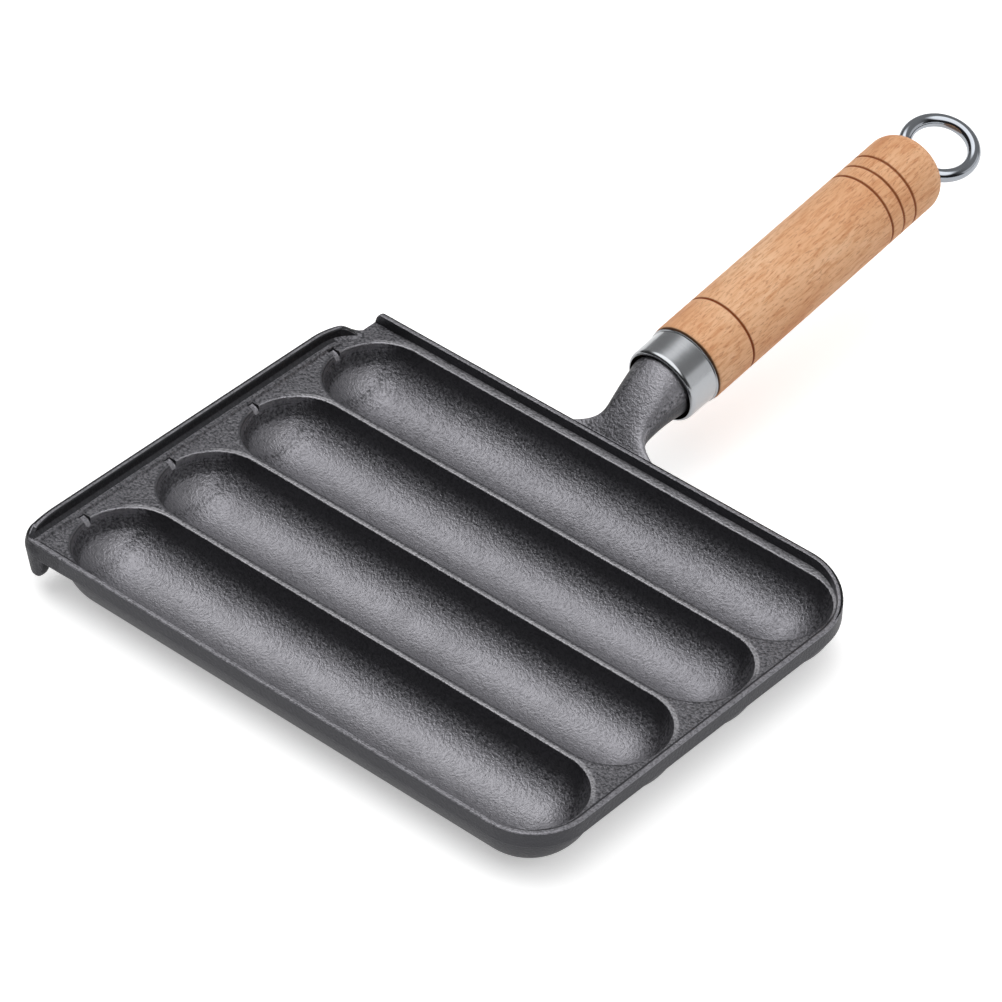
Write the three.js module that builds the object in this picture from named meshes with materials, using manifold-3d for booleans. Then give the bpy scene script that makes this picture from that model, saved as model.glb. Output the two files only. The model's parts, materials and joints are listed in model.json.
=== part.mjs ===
// Cast-iron sausage mould: a half plate with round-bottomed troughs and a cast neck, which carries
// a turned wooden grip by a steel ferrule and a tie rod that ends in a hanging eye.
// Millimetres, +Z up. X runs along the troughs and +Y points to the grip. The origin is in the
// middle of the base, on the surface that the mould stands on.
import * as THREE from "three";
import { mergeVertices } from "three/addons/utils/BufferGeometryUtils.js";
import Module from "manifold-3d";

const wasm = await Module();
wasm.setup();

// Troughs
const TROUGH_COUNT = 4;
const TROUGH_PITCH = 36.5;
const TROUGH_LENGTH = 190.3;
const TROUGH_WIDTH = 34.2;
const TROUGH_DEPTH = 14.5;
const TROUGH_FLAT = 5; // narrow flat along the floor of each trough
const FLOOR_WALL = 4.8; // iron under the floor
const SHELL_FLARE = 1.5; // how far the shell stands outside the mouth, under the plate
const FOOT_WIDTH = 8; // flat strip under each trough, on which the mould stands
const NOTCH_WIDTH = 3; // stick notch at the left end of each trough
const NOTCH_DEPTH = 2.2;
const NOTCH_REACH = 4.5; // how far the notch runs out into the land

// Plate and its rim
const PLATE_THICKNESS = 4.8;
const FRONT_LAND = 1.7; // from the front trough to the front edge
const RIGHT_LAND = 3.2; // from the trough ends to the right edge
const BACK_LAND = 3.4; // from the back trough to the foot of the back wall
const LEFT_LAND = 5.3; // from the trough ends to the foot of the lip
const BEAD_HEIGHT = 0.9;
const BEAD_WIDTH = 1.65;
const WALL_HEIGHT = 3.45;
const WALL_THICKNESS = 2.4;
const RIM_EDGE = 0.45; // chamfer along the top of bead, wall and lip
const FRONT_RIGHT_RADIUS = 19;
const BACK_RIGHT_RADIUS = 24;
const FRONT_LEFT_RADIUS = 5;
const BACK_LEFT_RADIUS = 24;
const TAB_INSET = 6.5; // bare plate edge beside the back wall, in from the lip's outer face
const TAB_LENGTH = 8;
const TAB_SLANT = 2.3; // sloping end of the back wall

// Lip along the left side, which hangs down as a hook
const LIP_THICKNESS = 3.35;
const HOOK_DROP = 13; // from the top of the plate to the tip of the hook
const HOOK_CURL = 0.9; // how far the tip leans inwards
const LIP_DRAFT = 1.1; // the wall of the lip is thinner at its top by this
const LIP_FADE = 0.45; // share of the back corner over which the wall of the lip rises
const LEDGE_HEIGHT = 0.8;
const LEDGE_WIDTH = 2.5;

// Neck and handle; stations run along the handle's axis from the back wall
const HANDLE_X = -0.7; // the neck stands a little left of the middle
const HANDLE_RISE = 7; // axis above the plate, at the back wall
const HANDLE_TILT = THREE.MathUtils.degToRad(8.4);
const NECK_REACH = 22.6; // back wall to the mouth of the ferrule
const NECK_ROOT_WIDTH = 36;
const NECK_ROOT_HEIGHT = 6.4;
const NECK_WAIST_WIDTH = 16;
const NECK_MOUTH_DIAMETER = 22;
const NECK_FILLET = 9; // length over which the root spreads into the wall
const NECK_FILLET_CURVE = 3; // 1 is a straight chamfer
const NECK_FLARE_CURVE = 1.5; // 1 is a straight flare from waist to mouth
const NECK_BEND = 11; // length over which the neck bends into the axis of the handle
const NECK_ROOT_SQUARENESS = 4; // 2 is an ellipse
const BOSS_LENGTH = 4.7; // part of the neck inside the ferrule
const ROD_DIAMETER = 5;
const ROD_GRIP = 10; // depth to which the rod is screwed into the boss
const CLEARANCE = 0.3;

const FERRULE_LENGTH = 12;
const FERRULE_FRONT_DIAMETER = 25.8;
const FERRULE_BACK_DIAMETER = 26.2;
const FERRULE_SHEET = 0.7;
const FERRULE_LIP = 1.5; // length of the rolled lip
const LIP_GROOVE = 0.35; // waist behind the rolled lip

const GRIP_LENGTH = 114;
const GRIP_DIAMETER = 27.3;
const GRIP_SHOULDER = 1.1; // rounding at the front of the grip
const GRIP_END_RADIUS = 7.5;
const GROOVE_WIDTH = 1.3;
const GROOVE_DEPTH = 0.6;
const FIRST_GROOVE = 16.3; // from the shoulder
const LAST_GROOVE = 17.5; // from the end of the grip
const TAIL_GROOVES = 3;
const TAIL_GROOVE_PITCH = 5.75;

const EYE_RADIUS = 11.15; // middle of the wire
const EYE_WIRE = 4;
const EYE_ROLL = THREE.MathUtils.degToRad(15);
const EYE_OFFSET = 1.1; // the bent eye stands a little beside the rod
const EYE_SEAT = 3.5; // depth of the slot that takes the foot of the eye

// Facets
const ROUND_STEPS = 32; // around the handle
const CORNER_STEPS = 8; // per corner of the plan
const TROUGH_END_STEPS = 12; // per round end
const TROUGH_ARC_STEPS = 8; // per half section
const NECK_STEPS = 10;
const NECK_SIDES = 20;
const EYE_STEPS = 40;
const EYE_SIDES = 10;
const OVERCUT = 2; // how far a cutting solid stands past the face that it cuts

// Places that follow from the sizes; the top of the plate is at z = 0 until the end
const FIELD_HALF = ((TROUGH_COUNT - 1) * TROUGH_PITCH + TROUGH_WIDTH) / 2;
const FRONT_Y = -FIELD_HALF - FRONT_LAND;
const BACK_Y = FIELD_HALF + BACK_LAND + WALL_THICKNESS;
const PAN_HALF = (LIP_THICKNESS + LEFT_LAND + TROUGH_LENGTH + RIGHT_LAND) / 2;
const FIELD_X = PAN_HALF - RIGHT_LAND - TROUGH_LENGTH / 2;
const TAB_X = -PAN_HALF + TAB_INSET;
const TAB_Y = BACK_Y - TAB_LENGTH;
const SHOULDER = NECK_REACH + FERRULE_LENGTH + CLEARANCE;
const GRIP_END = SHOULDER + GRIP_LENGTH;
const BOSS_END = NECK_REACH + BOSS_LENGTH;
const EYE_FOOT = GRIP_END - EYE_SEAT + CLEARANCE;
const EYE_CENTRE = EYE_FOOT + EYE_WIRE / 2 + EYE_RADIUS;

const lerp = THREE.MathUtils.lerp;
const smooth = (t) => THREE.MathUtils.smoothstep(t, 0, 1);

// Solids for cutting and joining

function toSolid(geometry) {
  const bare = geometry.clone();
  bare.deleteAttribute("normal");
  bare.deleteAttribute("uv");
  const merged = mergeVertices(bare, 1e-4);
  const mesh = new wasm.Mesh({
    numProp: 3,
    vertProperties: new Float32Array(merged.attributes.position.array),
    triVerts: new Uint32Array(merged.index.array),
  });
  return new wasm.Manifold(mesh);
}

function toGeometry(solid) {
  const mesh = solid.getMesh();
  const geometry = new THREE.BufferGeometry();
  geometry.setAttribute("position", new THREE.BufferAttribute(mesh.vertProperties, 3));
  geometry.setIndex(new THREE.BufferAttribute(mesh.triVerts, 1));
  geometry.computeVertexNormals();
  return geometry;
}

const joined = (geometries) => geometries.map(toSolid).reduce((a, b) => a.add(b));

// A closed skin over a row of rings with equal numbers of points. Each ring runs anticlockwise as
// seen from the rings that follow it, and the caps are the flat outlines of the two end rings.
function loft(rings, firstCap, lastCap) {
  const count = rings[0].length;
  const last = (rings.length - 1) * count;
  const index = [];
  for (let ring = 0; ring < last; ring += count) {
    for (let i = 0; i < count; i++) {
      const a = ring + i;
      const b = ring + ((i + 1) % count);
      index.push(a, b, a + count);
      index.push(b, b + count, a + count);
    }
  }
  const cap = (outline) => THREE.ShapeUtils.triangulateShape(outline, []);
  cap(firstCap).forEach(([a, b, c]) => index.push(a, c, b));
  cap(lastCap).forEach(([a, b, c]) => index.push(last + a, last + b, last + c));
  const geometry = new THREE.BufferGeometry().setFromPoints(rings.flat());
  geometry.setIndex(index);
  return geometry;
}

// Troughs

// Half section of a round-bottomed trough: a circular arc from the mouth to a flat at full depth.
function arcSection(halfWidth, depth, flatWidth, top) {
  const flat = flatWidth / 2;
  const rise = (halfWidth ** 2 - flat ** 2 - depth ** 2) / (2 * depth);
  const radius = Math.hypot(halfWidth, rise);
  const mouthAngle = Math.atan2(halfWidth, rise);
  const flatAngle = Math.atan2(flat, rise + depth);
  return Array.from({ length: TROUGH_ARC_STEPS + 1 }, (_, i) => {
    const angle = lerp(flatAngle, mouthAngle, i / TROUGH_ARC_STEPS);
    return [radius * Math.sin(angle), top + rise - radius * Math.cos(angle)];
  });
}

// A solid whose level sections are stadiums, for a list of [radius, height] from the bottom up.
function stadiumSolid(section, y) {
  const straight = (TROUGH_LENGTH - TROUGH_WIDTH) / 2;
  const rings = section.map(([radius, z]) => {
    const ring = [];
    for (const side of [1, -1]) {
      for (let i = 0; i <= TROUGH_END_STEPS; i++) {
        const angle = Math.PI * (i / TROUGH_END_STEPS - side / 2);
        const x = FIELD_X + side * straight + radius * Math.cos(angle);
        ring.push(new THREE.Vector3(x, y + radius * Math.sin(angle), z));
      }
    }
    return ring;
  });
  const level = (ring) => ring.map((p) => new THREE.Vector2(p.x, p.y));
  return loft(rings, level(rings[0]), level(rings.at(-1)));
}

const troughYs = Array.from(
  { length: TROUGH_COUNT },
  (_, i) => (i - (TROUGH_COUNT - 1) / 2) * TROUGH_PITCH,
);

function troughShell(y) {
  const top = -PLATE_THICKNESS;
  const halfWidth = TROUGH_WIDTH / 2 + SHELL_FLARE;
  const section = arcSection(halfWidth, TROUGH_DEPTH + FLOOR_WALL + top, FOOT_WIDTH, top);
  return stadiumSolid([...section, [halfWidth, top / 2]], y);
}

function troughHollow(y) {
  const section = arcSection(TROUGH_WIDTH / 2, TROUGH_DEPTH, TROUGH_FLAT, 0);
  return stadiumSolid([...section, [TROUGH_WIDTH / 2, WALL_HEIGHT]], y);
}

function stickNotch(y) {
  const end = FIELD_X - TROUGH_LENGTH / 2;
  const shape = new THREE.Shape();
  shape.moveTo(-NOTCH_WIDTH / 2, WALL_HEIGHT);
  shape.absarc(0, NOTCH_WIDTH / 2 - NOTCH_DEPTH, NOTCH_WIDTH / 2, Math.PI, 2 * Math.PI);
  shape.lineTo(NOTCH_WIDTH / 2, WALL_HEIGHT);
  const notch = new THREE.ExtrudeGeometry(shape, {
    depth: 2 * NOTCH_REACH,
    bevelEnabled: false,
    curveSegments: CORNER_STEPS,
  });
  notch.rotateX(Math.PI / 2);
  notch.rotateZ(Math.PI / 2);
  return notch.translate(end - NOTCH_REACH, y, 0);
}

// Plan of the plate: corner arcs with their outward directions, anticlockwise from above

function corner(x, y, radius, from, to) {
  return Array.from({ length: CORNER_STEPS + 1 }, (_, i) => {
    const angle = THREE.MathUtils.degToRad(lerp(from, to, i / CORNER_STEPS));
    const out = new THREE.Vector2(Math.cos(angle), Math.sin(angle));
    return { at: new THREE.Vector2(x, y).addScaledVector(out, radius), out, turn: i / CORNER_STEPS };
  });
}

const tabAngle = THREE.MathUtils.radToDeg(Math.acos(1 - TAB_INSET / BACK_LEFT_RADIUS));
const tabArcY = TAB_Y - BACK_LEFT_RADIUS * Math.sin(THREE.MathUtils.degToRad(tabAngle));
const frontLeft = corner(
  -PAN_HALF + FRONT_LEFT_RADIUS, FRONT_Y + FRONT_LEFT_RADIUS, FRONT_LEFT_RADIUS, 180, 270,
);
const frontRight = corner(
  PAN_HALF - FRONT_RIGHT_RADIUS, FRONT_Y + FRONT_RIGHT_RADIUS, FRONT_RIGHT_RADIUS, 270, 360,
);
const backRight = corner(
  PAN_HALF - BACK_RIGHT_RADIUS, BACK_Y - BACK_RIGHT_RADIUS, BACK_RIGHT_RADIUS, 0, 90,
);
const backLeft = corner(-PAN_HALF + BACK_LEFT_RADIUS, tabArcY, BACK_LEFT_RADIUS, 180 - tabAngle, 180);
const back = new THREE.Vector2(0, 1);
const tab = { at: new THREE.Vector2(TAB_X, BACK_Y), out: back };

function plate() {
  const outline = [...frontLeft, ...frontRight, ...backRight, tab, ...backLeft].map((p) => p.at);
  const slab = new THREE.ExtrudeGeometry(new THREE.Shape(outline), {
    depth: PLATE_THICKNESS,
    bevelEnabled: false,
  });
  return slab.translate(0, 0, -PLATE_THICKNESS);
}

// A rim along the plan: each station has a closed section of [distance inwards, height] pairs,
// anticlockwise.
function rim(stations) {
  const rings = stations.map(({ at, out, section }) => section.map(
    ([inwards, z]) => new THREE.Vector3(at.x - out.x * inwards, at.y - out.y * inwards, z),
  ));
  const cap = ({ section }) => section.map(([inwards, z]) => new THREE.Vector2(inwards, z));
  return loft(rings, cap(stations[0]), cap(stations.at(-1)));
}

// Section of the bead and of the back wall, which differ only in height and thickness.
function edgeSection(height, thickness) {
  return [
    [0, -PLATE_THICKNESS],
    [thickness, -PLATE_THICKNESS],
    [thickness, height - RIM_EDGE],
    [thickness - RIM_EDGE, height],
    [RIM_EDGE, height],
    [0, height - RIM_EDGE],
  ];
}

// Bead along the front and right edges, which grows into the back wall round the right corner.
function beadAndWall() {
  const bead = edgeSection(BEAD_HEIGHT, BEAD_WIDTH);
  const wall = edgeSection(WALL_HEIGHT, WALL_THICKNESS);
  const growing = backRight.map((p) => {
    const height = lerp(BEAD_HEIGHT, WALL_HEIGHT, smooth(p.turn));
    return { ...p, section: edgeSection(height, lerp(BEAD_WIDTH, WALL_THICKNESS, smooth(p.turn))) };
  });
  const wallEnd = { at: new THREE.Vector2(TAB_X + TAB_SLANT, BACK_Y), out: back, section: wall };
  return rim([
    { ...frontLeft.at(-1), section: bead },
    ...frontRight.map((p) => ({ ...p, section: bead })),
    ...growing,
    wallEnd,
    { ...tab, section: edgeSection(0, WALL_THICKNESS) },
  ]);
}

// Section of the lip: a low wall above the plate and the hook that hangs below it.
function lipSection(height) {
  const round = LIP_THICKNESS / 4;
  const tip = HOOK_CURL + LIP_THICKNESS;
  const top = LIP_THICKNESS - LIP_DRAFT;
  return [
    [HOOK_CURL + round, -HOOK_DROP],
    [tip - round, -HOOK_DROP],
    [tip, round - HOOK_DROP],
    [LIP_THICKNESS, -PLATE_THICKNESS],
    [LIP_THICKNESS, -RIM_EDGE],
    [top, height - RIM_EDGE],
    [top - RIM_EDGE, height],
    [RIM_EDGE, height],
    [0, height - RIM_EDGE],
    [0, -PLATE_THICKNESS],
    [HOOK_CURL, round - HOOK_DROP],
  ];
}

function lip() {
  const rising = backLeft.map((p) => {
    const height = WALL_HEIGHT * smooth(p.turn / LIP_FADE);
    return { ...p, section: lipSection(height) };
  });
  const falling = frontLeft.slice(0, -1).map((p) => {
    const height = lerp(WALL_HEIGHT, BEAD_HEIGHT, smooth(p.turn));
    return { ...p, section: lipSection(height) };
  });
  return rim([...rising, ...falling]);
}

// Low step between the land and the foot of the lip.
function ledge() {
  const from = FRONT_Y + FRONT_LEFT_RADIUS;
  const width = LIP_THICKNESS + LEDGE_WIDTH - RIM_EDGE;
  const height = LEDGE_HEIGHT + PLATE_THICKNESS / 2;
  const step = new THREE.BoxGeometry(width, tabArcY - from, height);
  return step.translate(
    -PAN_HALF + RIM_EDGE + width / 2, (from + tabArcY) / 2, LEDGE_HEIGHT - height / 2,
  );
}

// Neck

// A point of the handle's axis, [y, z], by its station.
function onAxis(station) {
  return [
    BACK_Y + station * Math.cos(HANDLE_TILT),
    HANDLE_RISE + station * Math.sin(HANDLE_TILT),
  ];
}

// One section of the neck: a rounded oblong that leans back by the given tilt.
function neckRing(y, z, halfWidth, halfHeight, tilt, squareness) {
  const power = 2 / squareness;
  const rounded = (value) => Math.sign(value) * Math.abs(value) ** power;
  const outline = Array.from({ length: NECK_SIDES }, (_, i) => {
    const angle = (2 * Math.PI * i) / NECK_SIDES;
    return new THREE.Vector2(
      halfHeight * rounded(Math.cos(angle)), halfWidth * rounded(Math.sin(angle)),
    );
  });
  const ring = outline.map((p) => new THREE.Vector3(
    HANDLE_X + p.y, y - p.x * Math.sin(tilt), z + p.x * Math.cos(tilt),
  ));
  return { ring, outline };
}

// The neck rises from the back wall, narrows to a waist and flares to the ferrule's mouth.
function neck() {
  const rootHalfHeight = NECK_ROOT_HEIGHT / 2;
  const rootZ = WALL_HEIGHT - CLEARANCE - rootHalfHeight;
  const mouth = NECK_MOUTH_DIAMETER / 2;
  const [mouthY, mouthZ] = onAxis(NECK_REACH);
  const path = new THREE.QuadraticBezierCurve(
    new THREE.Vector2(BACK_Y, rootZ),
    new THREE.Vector2(...onAxis(NECK_REACH - NECK_BEND)),
    new THREE.Vector2(mouthY, mouthZ),
  );
  const root = neckRing(
    BACK_Y - WALL_THICKNESS / 2, rootZ, NECK_ROOT_WIDTH / 2, rootHalfHeight, 0, NECK_ROOT_SQUARENESS,
  );
  const sections = Array.from({ length: NECK_STEPS + 1 }, (_, i) => {
    const t = i / NECK_STEPS;
    const at = path.getPoint(t);
    const fillet = Math.max(0, 1 - (at.x - BACK_Y) / NECK_FILLET) ** NECK_FILLET_CURVE;
    const waist = lerp(NECK_WAIST_WIDTH, NECK_MOUTH_DIAMETER, t ** NECK_FLARE_CURVE) / 2;
    const halfWidth = lerp(waist, NECK_ROOT_WIDTH / 2, fillet);
    const halfHeight = lerp(rootHalfHeight, mouth, t);
    return neckRing(at.x, at.y, halfWidth, halfHeight, HANDLE_TILT * t, lerp(NECK_ROOT_SQUARENESS, 2, t));
  });
  const boss = neckRing(...onAxis(BOSS_END), mouth, mouth, HANDLE_TILT, 2);
  const all = [root, ...sections, boss];
  return loft(all.map((s) => s.ring), root.outline, boss.outline);
}

function rodHole() {
  const length = ROD_GRIP + OVERCUT;
  const radius = ROD_DIAMETER / 2 + CLEARANCE;
  const hole = new THREE.CylinderGeometry(radius, radius, length, ROUND_STEPS / 2);
  hole.rotateX(HANDLE_TILT);
  const [y, z] = onAxis(BOSS_END + OVERCUT - length / 2);
  return hole.translate(HANDLE_X, y, z);
}

function panCasting() {
  const body = joined([
    plate(), beadAndWall(), lip(), ledge(), neck(), ...troughYs.map(troughShell),
  ]);
  const cuts = joined([...troughYs.map(troughHollow), ...troughYs.map(stickNotch), rodHole()]);
  return toGeometry(body.subtract(cuts));
}

// Handle pieces, turned about the local Y axis

const turned = (profile, steps) =>
  new THREE.LatheGeometry(profile.map(([r, y]) => new THREE.Vector2(r, y)), steps);

// Inner radius of the ferrule at a station.
function ferruleBore(station) {
  const along = (station - NECK_REACH) / FERRULE_LENGTH;
  return lerp(FERRULE_FRONT_DIAMETER, FERRULE_BACK_DIAMETER, along) / 2 - FERRULE_SHEET;
}

function ferrule() {
  const front = FERRULE_FRONT_DIAMETER / 2;
  const end = NECK_REACH + FERRULE_LENGTH;
  const lipEnd = NECK_REACH + FERRULE_LIP;
  const profile = [
    [ferruleBore(NECK_REACH), NECK_REACH],
    [front - LIP_GROOVE, NECK_REACH],
    [front, NECK_REACH + FERRULE_LIP / 3],
    [front, lipEnd - FERRULE_LIP / 3],
    [front - LIP_GROOVE, lipEnd],
    [front, lipEnd + LIP_GROOVE],
    [FERRULE_BACK_DIAMETER / 2, end],
    [ferruleBore(end), end],
    [ferruleBore(NECK_REACH), NECK_REACH],
  ];
  return toGeometry(toSolid(turned(profile, ROUND_STEPS)));
}

function grooveProfile(station) {
  const radius = GRIP_DIAMETER / 2;
  return [
    [radius, station - GROOVE_WIDTH / 2],
    [radius - GROOVE_DEPTH, station],
    [radius, station + GROOVE_WIDTH / 2],
  ];
}

function woodenGrip() {
  const radius = GRIP_DIAMETER / 2;
  const bore = ROD_DIAMETER / 2 + CLEARANCE;
  const spigot = BOSS_END + CLEARANCE;
  const shoulder = SHOULDER;
  const tail = Array.from(
    { length: TAIL_GROOVES },
    (_, i) => GRIP_END - LAST_GROOVE - (TAIL_GROOVES - 1 - i) * TAIL_GROOVE_PITCH,
  );
  const end = Array.from({ length: CORNER_STEPS + 1 }, (_, i) => {
    const angle = (Math.PI / 2) * (i / CORNER_STEPS);
    return [
      radius - GRIP_END_RADIUS * (1 - Math.cos(angle)),
      GRIP_END - GRIP_END_RADIUS * (1 - Math.sin(angle)),
    ];
  });
  const profile = [
    [bore, spigot],
    [ferruleBore(spigot) - CLEARANCE, spigot],
    [ferruleBore(shoulder) - CLEARANCE, shoulder],
    [radius - GRIP_SHOULDER, shoulder],
    [radius, shoulder + GRIP_SHOULDER],
    ...[shoulder + FIRST_GROOVE, ...tail].flatMap(grooveProfile),
    ...end,
    [bore, GRIP_END],
    [bore, spigot],
  ];
  const slot = new THREE.BoxGeometry(
    GRIP_DIAMETER + OVERCUT, EYE_SEAT + OVERCUT, EYE_WIRE + 2 * CLEARANCE,
  );
  slot.rotateY(EYE_ROLL);
  slot.translate(0, GRIP_END + (OVERCUT - EYE_SEAT) / 2, 0);
  return toGeometry(toSolid(turned(profile, ROUND_STEPS)).subtract(toSolid(slot)));
}

function eyeRod() {
  const eye = new THREE.TorusGeometry(EYE_RADIUS, EYE_WIRE / 2, EYE_SIDES, EYE_STEPS);
  eye.translate(EYE_OFFSET, EYE_CENTRE, 0);
  eye.rotateY(EYE_ROLL);
  const tip = BOSS_END - ROD_GRIP + CLEARANCE;
  const length = EYE_CENTRE - EYE_RADIUS - tip;
  const rod = new THREE.CylinderGeometry(ROD_DIAMETER / 2, ROD_DIAMETER / 2, length, ROUND_STEPS / 2);
  rod.translate(0, tip + length / 2, 0);
  return toGeometry(joined([eye, rod]));
}

// Finishes
const castIron = new THREE.MeshStandardMaterial({ color: 0x3d3e41, roughness: 0.55, metalness: 0.6 });
const polishedSteel = new THREE.MeshStandardMaterial({ color: 0xb9bdc2, roughness: 0.2, metalness: 1 });
const beech = new THREE.MeshStandardMaterial({ color: 0xd6a882, roughness: 0.6, metalness: 0 });
const chrome = new THREE.MeshStandardMaterial({ color: 0xd5d9dd, roughness: 0.1, metalness: 1 });

function piece(name, geometry, material) {
  const mesh = new THREE.Mesh(geometry, material);
  mesh.name = name;
  return mesh;
}

const handle = new THREE.Group();
handle.position.set(HANDLE_X, BACK_Y, HANDLE_RISE);
handle.rotation.x = HANDLE_TILT;
handle.add(piece("ferrule", ferrule(), polishedSteel));
handle.add(piece("wooden_grip", woodenGrip(), beech));
handle.add(piece("eye_rod", eyeRod(), chrome));

const mould = new THREE.Group();
mould.add(piece("pan_casting", panCasting(), castIron));
mould.add(handle);

// The origin goes to the middle of the base.
const extent = new THREE.Box3().setFromObject(mould, true);
mould.position.set(0, -(extent.min.y + extent.max.y) / 2, -extent.min.z);

export default mould;
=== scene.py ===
"""Looks of a cast-iron sausage mould with a turned wooden handle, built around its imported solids."""
import json
import math
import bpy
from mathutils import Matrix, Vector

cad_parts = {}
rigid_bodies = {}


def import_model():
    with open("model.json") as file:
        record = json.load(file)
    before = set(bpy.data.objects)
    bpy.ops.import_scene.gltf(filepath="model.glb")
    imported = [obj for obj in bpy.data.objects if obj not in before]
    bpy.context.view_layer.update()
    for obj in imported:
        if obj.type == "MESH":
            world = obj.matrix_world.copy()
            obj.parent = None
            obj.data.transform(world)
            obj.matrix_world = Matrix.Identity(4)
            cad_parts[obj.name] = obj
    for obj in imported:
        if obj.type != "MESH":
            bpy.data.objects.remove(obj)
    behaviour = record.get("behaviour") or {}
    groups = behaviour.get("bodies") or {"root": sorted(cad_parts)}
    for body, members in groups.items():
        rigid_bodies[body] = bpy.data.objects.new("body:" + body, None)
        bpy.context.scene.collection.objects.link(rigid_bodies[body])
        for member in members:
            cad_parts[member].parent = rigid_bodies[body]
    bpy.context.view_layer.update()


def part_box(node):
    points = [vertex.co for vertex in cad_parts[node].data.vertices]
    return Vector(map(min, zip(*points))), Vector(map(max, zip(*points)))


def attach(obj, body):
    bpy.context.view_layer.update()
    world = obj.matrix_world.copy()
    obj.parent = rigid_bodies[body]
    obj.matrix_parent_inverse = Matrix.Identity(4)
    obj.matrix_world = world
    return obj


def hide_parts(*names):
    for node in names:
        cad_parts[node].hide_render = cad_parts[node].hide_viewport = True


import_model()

from types import SimpleNamespace

import bmesh
import bpy
import numpy as np
from bpy.props import FloatProperty, FloatVectorProperty, IntProperty, PointerProperty
from mathutils import Euler, Matrix, Vector

bl_info = {
    "name": "Sausage mould",
    "version": (1, 0, 0),
    "blender": (4, 5, 0),
    "location": "View3D > Sidebar > Mould",
    "description": "Builds the iron pan, ferrule, wooden grip and hanging eye of a sausage mould",
    "category": "Add Mesh",
}

MM = 0.001

# Facets
END_STEPS = 40       # round end of a trough
ARC_STEPS = 28       # half section of a trough
ROUND_STEPS = 5      # one rounded edge of a section
CORNER_STEPS = 24    # one corner of the plan
NECK_SIDES = 64
NECK_STEPS = 44
TURN_STEPS = 128     # around the handle
EYE_STEPS = 128
WIRE_STEPS = 32
NOSE_STEPS = 8       # rounded end of the wall or the hook
FRONT_EDGE_STEPS = 17    # turned-in front edge of the ferrule
BACK_EDGE_STEPS = 11     # rolled back edge of the ferrule
QUARTER_STEPS = 8    # shoulder of the grip
GROOVE_STEPS = 10
DOME_STEPS = 24      # end of the grip

# Small sizes
SHARP = 0.05 * MM    # rounding of an edge that stays sharp, and overlap of joined solids
TINY = 0.02 * MM
WELD = 0.002 * MM    # points nearer than this become one
CORNER_SHARE = 0.49  # the most of a side that one rounded corner takes
SHARP_ANGLE = math.radians(38)    # edges that bend more are shaded sharp
NECK_SQUARENESS = 3.4    # section at the root, where 2 is an ellipse

# How bare the iron is: painted shade below nought, black at nought, worn and painted lighter near one
DEEP_SHADE, BLACK, RUBBED_AND_LIT = -0.9, 0.0, 0.9


# Sizes and colours that a user would change


def length(name, millimetres, description):
    return FloatProperty(
        name=name, description=description, default=millimetres * MM, unit="LENGTH", precision=5)


def turn(name, degrees, description):
    return FloatProperty(
        name=name, description=description, default=math.radians(degrees), subtype="ANGLE")


def amount(name, value, description):
    return FloatProperty(name=name, description=description, default=value, min=0, soft_max=5)


def colour(name, red, green, blue, description):
    """A colour that is written as it is picked from a screen, in steps of 0 to 255."""
    linear = [((c / 255 + 0.055) / 1.055) ** 2.4 for c in (red, green, blue)]
    return FloatVectorProperty(
        name=name, description=description, default=linear, size=3, min=0, max=1, subtype="COLOR")


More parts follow.
